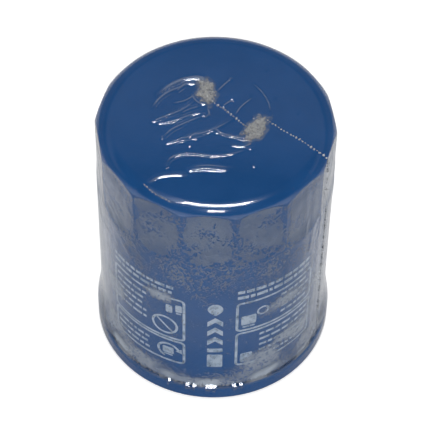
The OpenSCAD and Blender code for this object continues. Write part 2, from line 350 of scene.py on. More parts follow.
def rounded(corners, radius, steps=5):
    """A closed outline with its corners rounded off. Each corner gives up no more than its sides allow."""
    corners = [Vector(c) for c in corners]
    found = []
    for before, corner, after in zip(corners[-1:] + corners[:-1], corners, corners[1:] + corners[:1]):
        back, on = (before - corner), (after - corner)
        cut = min(radius, back.length * 0.45, on.length * 0.45)
        start, end = corner + back.normalized() * cut, corner + on.normalized() * cut
        for i in range(steps + 1):
            t = i / steps
            found.append((1 - t) ** 2 * start + 2 * t * (1 - t) * corner + t**2 * end)
    return [tuple(p) for p in found]


plate_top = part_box("drain_valve")[0].z
collar_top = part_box("drain_valve")[1].z
collar_r = 12.72 * mm
lip_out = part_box("drain_valve")[1].x
lip = [
    (collar_r, plate_top + 2.35 * mm), (14.6 * mm, plate_top + 2.35 * mm),
    (15.8 * mm, plate_top + 3.15 * mm),
    (18.2 * mm, plate_top + 2.55 * mm), (18.9 * mm, plate_top + 2.0 * mm),
    (20.5 * mm, plate_top + 1.85 * mm),
    (25.0 * mm, plate_top), (25.8 * mm, plate_top + 0.1 * mm), (lip_out, plate_top + 0.85 * mm),
    (21.2 * mm, plate_top + 3.15 * mm), (19.4 * mm, plate_top + 3.3 * mm),
    (18.6 * mm, plate_top + 3.9 * mm),
    (16.9 * mm, collar_top - 0.85 * mm), (15.2 * mm, collar_top), (collar_r, collar_top),
]
drain_valve = lathe("drain_valve_rubber", rounded(lip, 0.35 * mm))
paint(drain_valve, rubber("silicone_rubber", (0.34, 0.055, 0.016), (0.50, 0.10, 0.035)))
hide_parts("drain_valve")
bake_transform(drain_valve)
paint(nodes["bypass_facing"], rubber("nitrile_facing", (0.012, 0.012, 0.013), (0.035, 0.034, 0.033)))


# ---- Base plate ----
# A thick pressed steel disc with eight oil inlets, and a drawn hub tapped M20 x 1.5 for the engine's stud.
# It is bare and oiled, with turning marks on its faces; the tap leaves the thread's flanks brighter.

pitch = 1.5 * mm
minor_r, major_r = 9.19 * mm, 10.0 * mm
plate_lo, plate_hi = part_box("base_plate")


def copy_of(node, name):
    """A separate, closed copy of a CAD node's mesh, for cutting."""
    made = bpy.data.objects.new(name, nodes[node].data.copy())
    bpy.context.scene.collection.objects.link(made)
    work = bmesh.new()
    work.from_mesh(made.data)
    bmesh.ops.remove_doubles(work, verts=work.verts, dist=0.5e-6)
    work.to_mesh(made.data)
    work.free()
    return made


def thread_cutter():
    """The groove between an internal thread's turns: a four-sided section carried up a helix."""
    turns = (plate_hi.z - plate_lo.z) / pitch + 1.2
    steps = int(turns * 56)
    inner_r = minor_r - 0.14 * mm
    section = [(inner_r, -0.68 * mm), (major_r, -0.1 * mm), (major_r, 0.1 * mm), (inner_r, 0.68 * mm)]
    points = []
    for i in range(steps + 1):
        a = 2 * pi * turns * i / steps
        base = plate_lo.z - 0.6 * pitch + pitch * turns * i / steps
        points += [(r * cos(a), r * sin(a), base + z) for r, z in section]
    faces = [
        (i * 4 + k, i * 4 + (k + 1) % 4, i * 4 + 4 + (k + 1) % 4, i * 4 + 4 + k)
        for i in range(steps)
        for k in range(4)
    ]
    ends = [(0, 1, 2, 3), tuple(steps * 4 + k for k in range(4))]
    return from_arrays("thread_cutter", points, faces + ends)


threaded_plate = copy_of("base_plate", "threaded_base_plate")
cutter = thread_cutter()
cut = threaded_plate.modifiers.new("thread", "BOOLEAN")
cut.operation, cut.object, cut.solver = "DIFFERENCE", cutter, "EXACT"
bpy.context.view_layer.update()
cut_plate = threaded_plate.evaluated_get(bpy.context.evaluated_depsgraph_get())
shaped = bpy.data.meshes.new_from_object(cut_plate)
threaded_plate.modifiers.clear()
threaded_plate.data = shaped
shaped.polygons.foreach_set("use_smooth", [True] * len(shaped.polygons))
shaped.set_sharp_from_angle(angle=radians(25))
bpy.data.objects.remove(cutter)

bare_steel, tree, place = new_finish("bare_plate_steel")
out, angle, up = polar(tree, place)
turned = add(tree, "CombineXYZ", {0: out, 1: calc(tree, "MULTIPLY", angle, 0.3 * mm), 2: up}).outputs[0]
marks = grain(tree, turned, 2600, detail=2)
oil = grain(tree, place, 90, detail=4)
tapped = fade(tree, out, 10.2 * mm, 9.9 * mm)
plain = tint(tree, fade(tree, oil, 0.35, 0.65), (0.30, 0.28, 0.25), (0.52, 0.50, 0.47))
close_finish(
    tree,
    tint(tree, tapped, plain, (0.66, 0.65, 0.62)),
    fade(tree, oil, 0.35, 0.65, 0.2, 0.4),
    relief(tree, marks, 0.03 * mm, 0.7),
    Metallic=1.0,
)
paint(threaded_plate, bare_steel)
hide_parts("base_plate")
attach(threaded_plate, "housing")


# ---- Gasket ----
# The square-section nitrile ring that seals on the engine. It is pressed into the cover's channel and
# wiped with grease at the works, so its black skin is a little glossy in streaks.

gasket_rubber, tree, place = new_finish("nitrile_gasket")
out, angle, up = polar(tree, place)
wiped = add(tree, "CombineXYZ", {0: out, 1: calc(tree, "MULTIPLY", angle, 3 * mm), 2: up}).outputs[0]
grease = grain(tree, wiped, 700, detail=4)
close_finish(
    tree,
    tint(tree, grease, (0.010, 0.010, 0.011), (0.040, 0.039, 0.038)),
    fade(tree, grease, 0.35, 0.65, 0.22, 0.55),
    relief(tree, grain(tree, place, 5000, detail=2), 0.02 * mm, 0.5),
)
paint(nodes["gasket"], gasket_rubber)


# ---- Can and seamed cover ----
# The can is deep-drawn from sheet and the cover is rolled onto it in a lock seam; both are stoved in dark
# blue gloss enamel. Inside the seam the cover stays bare zinc plate, with overspray fading into it.

enamel_dark, enamel_light = (0.008, 0.118, 0.390), (0.012, 0.130, 0.420)
can_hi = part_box("can")[1]
can_r = 32.8 * mm
edge_w, edge_h = 5.0 * mm, 3.2 * mm
crown_r, crown_h = can_r - edge_w, 0.5 * mm
seam_lo, seam_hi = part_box("seam_cover")


def enamel(tree, place):
    """The blue paint: its colour, roughness and the height of its orange peel."""
    peel = grain(tree, place, 520, detail=2)
    depth = grain(tree, place, 70, detail=3)
    colour = tint(tree, fade(tree, depth, 0.35, 0.65), enamel_dark, enamel_light)
    return colour, fade(tree, depth, 0.3, 0.7, 0.14, 0.2), peel


can_paint, tree, place = new_finish("blue_enamel")
colour, gloss, peel = enamel(tree, place)
close_finish(tree, colour, gloss, relief(tree, peel, 0.02 * mm, 0.5), Coat_Weight=0.4, Coat_Roughness=0.08)
paint(nodes["can"], can_paint)

cover_paint, tree, place = new_finish("enamel_and_zinc")
colour, gloss, peel = enamel(tree, place)
out, angle, up = polar(tree, place)
spray = calc(tree, "ADD", out, calc(tree, "MULTIPLY", grain(tree, place, 260), 1.2 * mm))
painted = fade(tree, spray, 32.4 * mm, 33.6 * mm)
clouds = grain(tree, place, 150, detail=4)
bare = tint(tree, clouds, (0.46, 0.45, 0.40), (0.66, 0.66, 0.63))
close_finish(
    tree,
    tint(tree, painted, bare, colour),
    add(tree, "Mix", {0: painted, 2: fade(tree, clouds, 0.3, 0.7, 0.3, 0.42), 3: gloss}).outputs[0],
    relief(tree, peel, 0.02 * mm, 0.5),
    Metallic=calc(tree, "SUBTRACT", 1.0, painted),
)
paint(nodes["seam_cover"], cover_paint)


# ---- Printed panels ----
# One colour of pale ink, screen-printed on the can twice round: two framed panels of fitting pictures with
# plain bars in place of writing, and an upright mark of a drop and chevrons between them.

ink_low, ink_high = -0.01 * mm, 0.022 * mm
print_step = 1.2 * mm


def box_outline(u, v, w, h, r=0.0):
    """A rectangle with its corner at (u, v), in millimetres round and up the can."""
    r = min(r, w / 2, h / 2)
    if r == 0:
        return [(u, v), (u + w, v), (u + w, v + h), (u, v + h)]
    right, top = u + w - r, v + h - r
    corners = [(right, v + r, -90), (right, top, 0), (u + r, top, 90), (u + r, v + r, 180)]
    return [
        (x + r * cos(radians(a + t)), y + r * sin(radians(a + t)))
        for x, y, a in corners
        for t in (0, 22.5, 45, 67.5, 90)
    ]


def disc_outline(u, v, r, start=0, end=360, steps=32):
    turns = [radians(start + (end - start) * i / steps) for i in range(steps + (end - start < 360))]
    return [(u + r * cos(t), v + r * sin(t)) for t in turns]


def frame_outlines(u, v, w, h, line=0.8, r=1.6):
    """A ruled frame with rounded corners: its outer and its inner edge."""
    inner = box_outline(u + line, v + line, w - 2 * line, h - 2 * line, r - line)
    return [box_outline(u, v, w, h, r), inner]


def word_bars(rng, u, v, w, h, gap=0.5):
    """A row of plain bars of uneven length, which stands for a line of small print."""
    found, at = [], u
    while at < u + w - 1:
        long = min(rng.uniform(1.0, 3.4), u + w - at)
        found.append(box_outline(at, v, long, h))
        at += long + gap
    return found


def tilted(outline, u, v, angle):
    c, s = cos(radians(angle)), sin(radians(angle))
    return [(u + (x - u) * c - (y - v) * s, v + (x - u) * s + (y - v) * c) for x, y in outline]


def filter_sign(u, v, w, h):
    """A small filter seen from its side: a body and a narrower seam under it."""
    return [box_outline(u, v + 0.22 * h, w, 0.78 * h, 0.5), box_outline(u + 0.1 * w, v, 0.8 * w, 0.14 * h)]


def half_ring(u, v, outer, inner, start, end):
    return disc_outline(u, v, outer, start, end, 20) + disc_outline(u, v, inner, start, end, 20)[::-1]


def arrow_head(u, v, size, angle):
    return tilted([(u - size, v - size), (u + size, v), (u - size, v + size)], u, v, angle)


def panel_shapes():
    """All the shapes of one repeat, from the middle of the can's front, in millimetres."""
    rng = np.random.default_rng(7)
    found = []
    # left panel: a crossed ring over a filter, and a turning arrow below
    found += frame_outlines(-31.0, 27.0, 24.9, 19.6) + frame_outlines(-31.0, 15.7, 24.9, 10.9)
    ring = (-12.3, 33.0)
    bar = tilted(box_outline(ring[0] - 3.25, ring[1] - 0.32, 6.5, 0.64), *ring, -45)
    found += [disc_outline(*ring, 4.1), disc_outline(*ring, 3.35), bar]
    found += filter_sign(-9.0, 39.6, 1.9, 4.2) + [box_outline(-11.9, 39.4, 2.0, 3.6, 0.6)]
    for row in range(5):
        found += word_bars(rng, -29.6, 42.9 - 2.7 * row, 11.4, 1.0)
    found += [half_ring(-11.2, 20.8, 3.6, 2.8, 20, 250), arrow_head(-7.6, 21.9, 1.0, 70)]
    found += filter_sign(-13.0, 18.6, 3.4, 3.9)
    for row in range(3):
        found += word_bars(rng, -29.6, 22.9 - 2.5 * row, 12.2, 1.0)
    for row in range(2):
        found += word_bars(rng, -30.6, 50.6 - 2.3 * row, 21.0, 1.2)
    # upright mark: a drop, three chevrons and a bar
    mark, half = 2.3, 2.2
    drop = []
    for t in range(0, 360, 12):
        narrow = min(1, (360 - t) / 90, t / 90) ** 0.5
        drop.append((mark - half * sin(radians(t)) * narrow, 43.9 - 2.6 * cos(radians(t))))
    found.append(drop)
    for k in range(3):
        v = 36.0 - 4.5 * k
        under = [(mark - half, v), (mark, v + 2.0), (mark + half, v)]
        over = [(mark + half, v + 2.2), (mark, v + 4.2), (mark - half, v + 2.2)]
        found.append(under + over)
    found.append(box_outline(mark - half, 23.6, 2 * half, 1.8, 0.3))
    found.append(box_outline(mark - half, 16.2, 2 * half, 6.2, 0.5))
    # right panel: a filter with a turning ring, and small print below
    found += frame_outlines(8.0, 32.6, 26.0, 13.6) + frame_outlines(8.0, 15.9, 26.0, 16.1)
    found += filter_sign(9.6, 34.2, 4.4, 5.4)
    found += [disc_outline(16.0, 40.2, 1.9), disc_outline(16.0, 40.2, 1.25), arrow_head(19.4, 40.4, 0.9, 0)]
    for row in range(4):
        found += word_bars(rng, 21.8, 43.0 - 2.6 * row, 10.8, 1.0)
    found += [box_outline(9.6, 17.4, 3.6, 4.2, 0.6)]
    for row in range(5):
        found += word_bars(rng, 15.2, 28.6 - 2.6 * row, 17.2, 1.0)
    for row in range(2):
        found += word_bars(rng, 8.4, 50.4 - 2.5 * row, 24.0, 1.3)
    return found


def print_mesh(name, shapes):
    """Fills flat shapes and cuts them into narrow upright strips, ready to be wrapped round the can."""
    curve = bpy.data.curves.new(name, "CURVE")
    curve.dimensions, curve.fill_mode = "2D", "BOTH"
    for shape in shapes:
        spline = curve.splines.new("POLY")
        spline.points.add(len(shape) - 1)
        spline.points.foreach_set("co", [c for u, v in shape for c in (u * mm, v * mm, 0, 1)])
        spline.use_cyclic_u = True
    holder = bpy.data.objects.new(name, curve)
    bpy.context.scene.collection.objects.link(holder)
    bpy.context.view_layer.update()
    flat = bpy.data.meshes.new_from_object(holder.evaluated_get(bpy.context.evaluated_depsgraph_get()))
    bpy.data.objects.remove(holder)
    work = bmesh.new()
    work.from_mesh(flat)
    bmesh.ops.remove_doubles(work, verts=work.verts, dist=1e-7)
    low, high = min(v.co.x for v in work.verts), max(v.co.x for v in work.verts)
    for i in range(1, int((high - low) / print_step) + 1):
        everything = work.verts[:] + work.edges[:] + work.faces[:]
        cut_at = (low + i * print_step, 0, 0)
        bmesh.ops.bisect_plane(work, geom=everything, plane_co=cut_at, plane_no=(1, 0, 0), dist=1e-8)
    work.to_mesh(flat)
    work.free()
    return flat


def wrapped(flat, turn):
    """The flat print wrapped round the can from the angle turn: points of its two sides, and its faces."""
    co = np.array([v.co for v in flat.vertices])
    angle = radians(-90) + turn + co[:, 0] / can_r
    layers = [
        np.c_[(can_r + d) * np.cos(angle), (can_r + d) * np.sin(angle), co[:, 1]]
        for d in (ink_low, ink_high)
    ]
    top = [tuple(p.vertices) for p in flat.polygons]
    uses = {}
    for face in top:
        for a, b in zip(face, face[1:] + face[:1]):
            uses.setdefault(frozenset((a, b)), []).append((a, b))
    count = len(co)
    faces = [tuple(i + count for i in f) for f in top] + [f[::-1] for f in top]
    faces += [(a, b, b + count, a + count) for pairs in uses.values() if len(pairs) == 1 for a, b in pairs]
    return np.vstack(layers), faces


flat_print = print_mesh("panel_print", panel_shapes())
points, faces = [], []
for turn in (0, pi):
    more, their_faces = wrapped(flat_print, turn)
    start = sum(len(p) for p in points)
    points.append(more)
    faces += [tuple(i + start for i in f) for f in their_faces]
panel_print = from_arrays("panel_print", np.vstack(points), faces, smooth=False)

ink, tree, place = new_finish("pale_ink")
screen = grain(tree, place, 3600, detail=2)
thin = grain(tree, place, 420, detail=4)
close_finish(
    tree,
    tint(tree, fade(tree, thin, 0.38, 0.6), (0.42, 0.56, 0.74), (0.62, 0.74, 0.90)),
    fade(tree, screen, 0.3, 0.7, 0.35, 0.55),
    relief(tree, screen, 0.01 * mm, 0.5),
    Alpha=fade(tree, calc(tree, "ADD", screen, thin), 0.72, 0.92, 0.35, 1.0),
)
paint(panel_print, ink)
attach(panel_print, "housing")


# ---- Shrink film ----
# A sleeve of clear film, welded along one line and shrunk on with hot air. It lies on the paint round the
# ridges, bridges the flats and the seam's shoulder, crumples on top, and ends in a hem under the seam.

flat_count, flat_r = 14, 32.0 * mm
flat_low, flat_fade = can_hi.z - 24.0 * mm, 6.0 * mm
film_gap, film_t = 0.085 * mm, 0.05 * mm
flare_top, bridge_top = 15.5 * mm, 21.0 * mm
seam_r = seam_hi.x
hem_r = 32.2 * mm
columns = 720


def smooth(value, low, high):
    t = np.clip((value - low) / (high - low), 0, 1)
    return t * t * (3 - 2 * t)


def flat_depth(angle, height, reach):
    """How far the wrench flats lie inside a round can of radius reach."""
    step = 2 * pi / flat_count
    local = (angle + pi / 2 + step / 2) % step - step / 2
    s = np.clip(1 - (height - flat_low) / flat_fade, 0, 1)
    face = flat_r + 1.1 * mm * s**2
    return np.clip(reach - face / np.cos(local), 0, None) * (height > flat_low)


def film_path():
    """The film's way from near the middle of the top to its hem, as (radius, height) points."""
    top_z = can_hi.z + film_gap
    crown = [(r, top_z - crown_h * (r / crown_r) ** 2) for r in np.arange(1, 112) / 112 * crown_r]
    wide, high = edge_w + film_gap, edge_h + film_gap
    edge_z = can_hi.z - crown_h - edge_h
    edge = [(crown_r + wide * sin(a), edge_z + high * cos(a)) for a in np.linspace(0.07, pi / 2, 20)]
    wall_r, out_r = can_r + film_gap, seam_r + film_gap
    wall = [(wall_r, z) for z in np.linspace(edge_z, flare_top, 84)[1:]]
    shelf_r, shelf_z = can_r + 0.55 * mm, seam_hi.z + 0.62 * mm
    drop = flare_top - shelf_z
    flare = [
        (wall_r + (shelf_r - wall_r) * t**1.7, flare_top - t * drop) for t in np.linspace(0, 1, 20)[1:]
    ]
    turn_r, turn_z = out_r - shelf_r, shelf_z - seam_hi.z + 0.6 * mm
    flare += [
        (shelf_r + turn_r * sin(a), shelf_z - turn_z * (1 - cos(a)) - 0.2 * mm * sin(a))
        for a in np.linspace(0, pi / 2, 12)[1:]
    ]
    low, bend_r = seam_lo.z - film_gap, 0.85 * mm
    rim = [(out_r, z) for z in np.linspace(flare[-1][1], low + bend_r, 8)[1:]]
    under = [
        (out_r - bend_r + bend_r * cos(a), low + bend_r - bend_r * sin(a))
        for a in np.linspace(0.15, pi / 2, 9)
    ]
    hem = [(r, low) for r in np.linspace(out_r - bend_r, hem_r, 5)[1:]]
    return np.array(crown + edge + wall + flare + rim + under + hem)


def curve_through(points, count=28):
    """An even, smooth line of count points through a few given ones."""
    points = np.asarray(points, float)
    if len(points) == 2:
        return points[0] + np.linspace(0, 1, count)[:, None] * (points[1] - points[0])
    ends = np.vstack([2 * points[0] - points[1], points, 2 * points[-1] - points[-2]])
    found = []
    for t in np.linspace(0, len(points) - 1 - 1e-9, count):
        i, f = int(t), t - int(t)
        a, b, c, d = ends[i : i + 4]
        square, cube = (2 * a - 5 * b + 4 * c - d) * f * f, (3 * b - a - 3 * c + d) * f**3
        found.append(0.5 * (2 * b + (c - a) * f + square + cube))
    return np.array(found)


def ridge(at, line, high, wide):
    """Height of a pinched-up ridge along line, which dies away at both its ends."""
    line = curve_through(line)
    best, along = np.full(len(at), 1e9), np.zeros(len(at))
    for i, (a, b) in enumerate(zip(line[:-1], line[1:])):
        d = b - a
        t = np.clip(((at - a) @ d) / (d @ d), 0, 1)
        away = np.linalg.norm(at - (a + t[:, None] * d), axis=1)
        near = away < best
        best = np.where(near, away, best)
        along = np.where(near, (i + t) / (len(line) - 1), along)
    ends = np.clip(np.minimum(along, 1 - along) * 5, 0, 1) ** 0.6
    return high * ends * np.clip(1 - best / (1.9 * wide), 0, 1) ** 1.6


def swell(angle, height, around, up, count, seed):
    """Soft, seamless waves over the wall: sums of sines of random direction, from -1 to 1 or so."""
    rng = np.random.default_rng(seed)
    total = np.zeros_like(angle)
    for _ in range(count):
        n = int(rng.uniform(*around)) * rng.choice([-1, 1])
        total += np.sin(n * angle + 2 * pi * height / rng.uniform(*up) + rng.uniform(0, 2 * pi))
    return total / np.sqrt(count)


# ridges on the top, as lines across it in millimetres, each with its height and half width
top_ridges = [
    ([(-17.0, 6.6), (-13.2, 11.0), (-9.3, 13.5), (-5.2, 14.3), (-2.6, 12.6)], 0.75, 1.0),
    ([(-17.6, 2.4), (-15.6, 6.4), (-12.5, 9.5), (-8.4, 11.6)], 0.35, 0.6),
    ([(-11.5, 9.0), (-9.0, 11.8), (-5.6, 12.4)], 0.5, 0.6),
    ([(-17.5, -2.6), (-13.7, -0.2), (-9.3, 2.5), (-5.8, 6.3)], 0.55, 0.42),
    ([(-9.6, 1.2), (-7.2, 2.9), (-4.4, 4.3)], 0.3, 0.35),
    ([(-16.0, -3.2), (-10.9, -1.4), (-7.0, 0.7), (-3.1, 2.2)], 0.4, 0.4),
    ([(-14.0, -7.8), (-11.5, -4.6), (-8.2, -2.2), (-3.0, 1.0)], 0.5, 0.42),
    ([(-13.3, -10.0), (-8.6, -7.8), (-4.7, -6.1), (0.0, -3.7), (5.1, 0.6)], 0.55, 0.45),
    ([(-0.9, -3.1), (1.9, -5.3), (6.3, -6.4), (10.0, -6.9)], 0.6, 0.5),
    ([(-12.1, -17.2), (-11.2, -14.6), (-8.4, -13.1), (-4.8, -12.8), (0.5, -13.1), (5.8, -11.7), (9.6, -9.4)],
     0.5, 0.45),
    ([(-2.6, 3.9), (-2.0, 1.4), (-3.4, -0.4)], 0.3, 0.35),
    ([(-6.6, -18.6), (-1.9, -17.6), (4.6, -17.8)], 0.5, 0.75),
    ([(-5.4, -17.2), (-0.9, -16.4), (5.4, -16.9)], 0.3, 0.4),
    ([(-16.7, -23.4), (-13.5, -21.0), (-9.6, -20.1), (-6.2, -20.3)], 0.35, 0.8),
    ([(-0.3, 9.6), (1.2, 11.9), (3.4, 14.8)], 0.35, 0.4),
    ([(1.6, 4.6), (2.8, 5.8), (4.2, 7.2)], 0.3, 0.35),
    ([(9.1, 13.7), (12.0, 10.3), (13.9, 6.6), (14.5, 3.4)], 0.3, 0.35),
    ([(5.0, 1.4), (6.6, 4.8), (9.6, 8.4)], 0.18, 0.4),
    ([(-7.4, 8.8), (-5.4, 5.6), (-2.6, 4.6)], 0.35, 0.45),
    ([(4.2, -8.9), (7.4, -9.3), (10.2, -8.2)], 0.35, 0.5),
    ([(-6.2, 8.2), (-8.6, 6.0), (-12.2, 4.6)], 0.2, 0.45),
]
# small blisters on the top: place, height and half width
top_blisters = [
    (-5.2, -6.5, 0.55, 0.9), (-8.4, -8.0, 0.4, 0.8), (0.4, -4.6, 0.4, 0.6), (-3.3, 1.1, 0.4, 0.5),
    (3.3, 14.6, 0.35, 0.45),
    (12.9, 18.6, 0.15, 0.35), (22.0, 3.5, 0.12, 0.3), (15.6, 8.5, 0.15, 0.3), (9.0, 9.1, 0.15, 0.3),
    (10.2, 1.3, 0.3, 0.4),
    (11.0, -15.8, 0.2, 0.3), (25.8, -16.5, 0.15, 0.35), (-6.3, -10.1, 0.15, 0.3), (-19.5, -24.7, 0.15, 0.3),
    (4.2, 6.9, 0.3, 0.35),
    (-13.9, -7.6, 0.3, 0.4), (21.5, -22.0, 0.12, 0.3), (-11.9, -17.4, 0.3, 0.4), (9.8, -9.6, 0.35, 0.4),
]
# the fold of spare film over the front corner, which starts on the top
corner_fold = [(-17.2, -23.9), (-14.4, -26.2), (-10.4, -28.4), (-6.5, -29.6)]

# the share of its listed height and width that a crease is given
ridge_height, ridge_width = 0.62, 0.8
path = film_path()
row = np.repeat(np.arange(len(path)), columns)
out, up = path[row, 0], path[row, 1]
angle = np.tile(np.arange(columns) * 2 * pi / columns, len(path))
slope = np.gradient(path, axis=0)
slope /= np.linalg.norm(slope, axis=1)[:, None]
face_out, face_up = -slope[row, 1], slope[row, 0]

# at the sides the film could not follow the step, and bridges from the wall to the seam's outer edge
turned = np.degrees(np.arccos(np.clip(np.cos(angle + pi / 2), -1, 1)))
hood_start = np.where(np.cos(angle) < 0, 50, 66)
hood = smooth(turned + 2.5 * swell(angle, up, (4, 9), (0.02, 0.05), 5, 61), hood_start, hood_start + 16)
bridge_drop = bridge_top - seam_hi.z - 1.6 * mm
bridge = np.clip((bridge_top - up) / bridge_drop, 0, 1) ** 1.6 * (up > seam_hi.z) * (out > can_r)
out = out + hood * bridge * np.clip(seam_r + film_gap - out, 0, None)

on_top = smooth(out, crown_r + 4.2 * mm, crown_r + 1 * mm) * (up > can_hi.z - 4 * mm)
at = np.c_[out * np.cos(angle), out * np.sin(angle)] / mm
crumple = np.zeros(len(out))
crest_and_painted_light = np.zeros(len(out))
chosen = (up > can_hi.z - 3 * mm) & (out < can_r)
# fainter creases that run along the first ridges, a little below and a little above them
echoes = [
    ([(x + 0.5, y - 0.85) for x, y in line[:-1]], 0.22 * high, 0.2) for line, high, _ in top_ridges[:12]
]
echoes += [
    ([(x - 0.4, y + 0.8) for x, y in line[1:]], 0.15 * high, 0.16) for line, high, _ in top_ridges[:9]
]
for line, high, wide in top_ridges + echoes:
    made = ridge(at[chosen], line, ridge_height * high, ridge_width * wide)
    crumple[chosen] = np.maximum(crumple[chosen], made) + 0.3 * np.minimum(crumple[chosen], made)
    crest_and_painted_light[chosen] = np.maximum(crest_and_painted_light[chosen], made / (ridge_height * high))
fold = ridge(at[chosen], corner_fold, 0.35, 0.4)
crumple[chosen] += fold
crest_and_painted_light[chosen] = np.maximum(crest_and_painted_light[chosen], fold / 0.35)
for x, y, high, wide in top_blisters:
    made = np.exp(-(np.hypot(at[chosen, 0] - x, at[chosen, 1] - y) / wide) ** 2)
    crumple[chosen] += high * made
    crest_and_painted_light[chosen] = np.maximum(crest_and_painted_light[chosen], 0.6 * made)
loose = 0.03 * swell(angle, up, (2, 5), (0.04, 0.09), 6, 3) * on_top * smooth(out, 2 * mm, 14 * mm)
crumple += loose

# the wall: long soft pleats of spare width, and fans of short slanting creases under the top corner
wall = smooth(up, can_hi.z - 2 * mm, can_hi.z - 6 * mm)
pleats = swell(angle, up, (30, 70), (0.05, 0.2), 14, 5)
slack = 0.5 + 0.5 * swell(angle, up, (1, 4), (0.08, 0.3), 5, 11)
crumple += wall * smooth(up, seam_hi.z - 1 * mm, seam_hi.z + 9 * mm) * 0.035 * pleats * np.clip(slack, 0, 1)
unrolled = np.c_[((angle + pi / 2 + pi) % (2 * pi) - pi) * can_r / mm, up / mm]
rng = np.random.default_rng(21)
side = (out > can_r - 1 * mm) & (up > 16 * mm)
for _ in range(46):
    u, v = rng.uniform(-100, 100), rng.uniform(60, 82)
    long, lean = rng.uniform(6, 15), rng.uniform(-0.5, 0.5) + (0.75 if -55 < u < -14 else 0)
    halfway = (u + 0.55 * long * lean + rng.uniform(-0.6, 0.6), v - 0.5 * long)
    line = [(u, v), halfway, (u + long * lean, v - long)]
    chosen = side & (np.abs(unrolled[:, 0] - u) < 16) & (np.abs(unrolled[:, 1] - v + long / 2) < long)
    if -13 < u < 10:
        continue
    made = ridge(unrolled[chosen], line, 1.0, rng.uniform(0.35, 0.6))
    crumple[chosen] += rng.uniform(0.08, 0.2) * made
    crest_and_painted_light[chosen] = np.maximum(crest_and_painted_light[chosen], 0.55 * made)

# where the film lies on the paint it almost vanishes; where there is air under it, it is a pale veil
depth = flat_depth(angle, up, out - film_gap)
tight = smooth(up, can_hi.z - 7 * mm, can_hi.z - 3 * mm)
sag = depth * (0.62 + 0.36 * tight)
ragged = swell(angle, up, (6, 16), (0.008, 0.03), 10, 17)
below_edge = smooth(up, can_hi.z - 1.6 * mm, can_hi.z - 2.4 * mm)
air = smooth(depth + 0.07 * mm * ragged, 0.10 * mm, 0.34 * mm) * below_edge
shoulder = smooth(up, can_hi.z - 3.9 * mm, can_hi.z - 2.9 * mm)
air *= 0.62 + 0.38 * smooth(ragged + 0.6 * swell(angle, up, (2, 5), (0.03, 0.06), 6, 23), -0.9, 0.2)
low_veil = smooth(up, 17 * mm, 9 * mm) * smooth(up, seam_hi.z + 0.3 * mm, seam_hi.z + 2 * mm)
air = np.maximum(air, low_veil * (0.8 + 0.35 * swell(angle, up, (5, 14), (0.01, 0.03), 8, 29)))
facing_front = np.cos(angle + pi / 2)
uneven = facing_front + 0.10 * swell(angle, up, (3, 9), (0.04, 0.12), 6, 31)
side_bands = smooth(uneven, 0.55, 0.22) * (1 - shoulder)
air = np.maximum(air, 0.85 * side_bands * (up > seam_hi.z))
micro = smooth(up, 46 * mm, 58 * mm) * 0.34 + smooth(up, 26 * mm, 50 * mm) * 0.1
micro = micro + 0.10 * swell(angle, up, (8, 20), (0.01, 0.04), 8, 41)
air = np.maximum(air, micro * (1 - shoulder) * (up > seam_hi.z))
# wide pale clouds low on the wall, where the film has let go of the paint:
# place round and up the can, half width and half height
let_go = [
    (-34, 35, 9, 6), (-42, 26, 7, 9), (-23, 11.5, 11, 4.5), (-34, 17, 6, 7), (-5, 8.8, 17, 2.2),
    (17, 15, 11, 7.5), (29, 22, 9, 5.5),
    (39, 33, 8, 8), (36, 12, 8, 6), (-14, 46, 5, 3), (24, 40, 9, 3.5),
]
half_round = pi * can_r / mm
clouds = np.zeros(len(out))
for u, v, wide, high in let_go:
    for opposite in (0, half_round):
        off = (unrolled[:, 0] - u + opposite + half_round) % (2 * half_round) - half_round
        away = np.hypot(off / wide, (unrolled[:, 1] - v) / high) + 0.22 * ragged
        clouds = np.maximum(clouds, smooth(away, 1.5, 0.35) * (up > seam_hi.z + 0.5 * mm))
air = np.maximum(air, 0.62 * clouds)
# painted light: the low band above the seam and the pale clouds get extra veil and whitening, a painted
# brightening for light the low wall does not get; on the ridges the crest is the film's own crease whitening
milky = smooth(up, 14 * mm, 9 * mm) * (up > seam_hi.z + 0.2 * mm) * (1 - 0.6 * hood)
crest_and_painted_light = np.maximum(crest_and_painted_light, np.maximum(milky * np.clip(0.8 + 0.42 * ragged, 0, 1.15), 0.86 * clouds))
air = np.maximum(air, hood * smooth(up, 26 * mm, 15 * mm) * (0.95 + 0.15 * ragged))
air[up > can_hi.z - 1.6 * mm] = -1
air[(up < seam_hi.z + 0.3 * mm) & (hood < 0.4)] = -1
# flat, tight little panels of film over the seam's upper corner:
# angle from the front in degrees, and half width in millimetres
panel_r = 33.75 * mm
panels = ((-18.6, 1.2), (-8.8, 1.7), (-5.8, 1.2), (0.6, 1.3), (3.6, 1.9), (14.6, 1.7), (17.4, 1.3))
for turn, wide in panels:
    toward = radians(turn - 90)
    x = (out * np.cos(angle) - panel_r * cos(toward)) / mm
    y = (out * np.sin(angle) - panel_r * sin(toward)) / mm
    flat = (seam_hi.z / mm + 0.55 + 0.45 * y - 0.03 * x) * mm
    share = smooth(np.hypot(x, y), wide, 0.6 * wide) * (np.abs(up - seam_hi.z) < 2 * mm)
    up = up + share * (flat - up)
out = out - sag + crumple * mm * face_out
up = up + crumple * mm * face_up
points = np.vstack([np.c_[out * np.cos(angle), out * np.sin(angle), up], [(0, 0, can_hi.z + film_gap)]])
faces = [(len(points) - 1, k, (k + 1) % columns) for k in range(columns)]
for i in range(len(path) - 1):
    a = i * columns
    faces += [
        (a + (k + 1) % columns, a + k, a + columns + k, a + columns + (k + 1) % columns)
        for k in range(columns)
    ]
film = bpy.data.meshes.new("shrink_film_skin")
film.from_pydata([tuple(p) for p in points], [], [tuple(int(v) for v in f) for f in faces])
film.polygons.foreach_set("use_smooth", [True] * len(film.polygons))
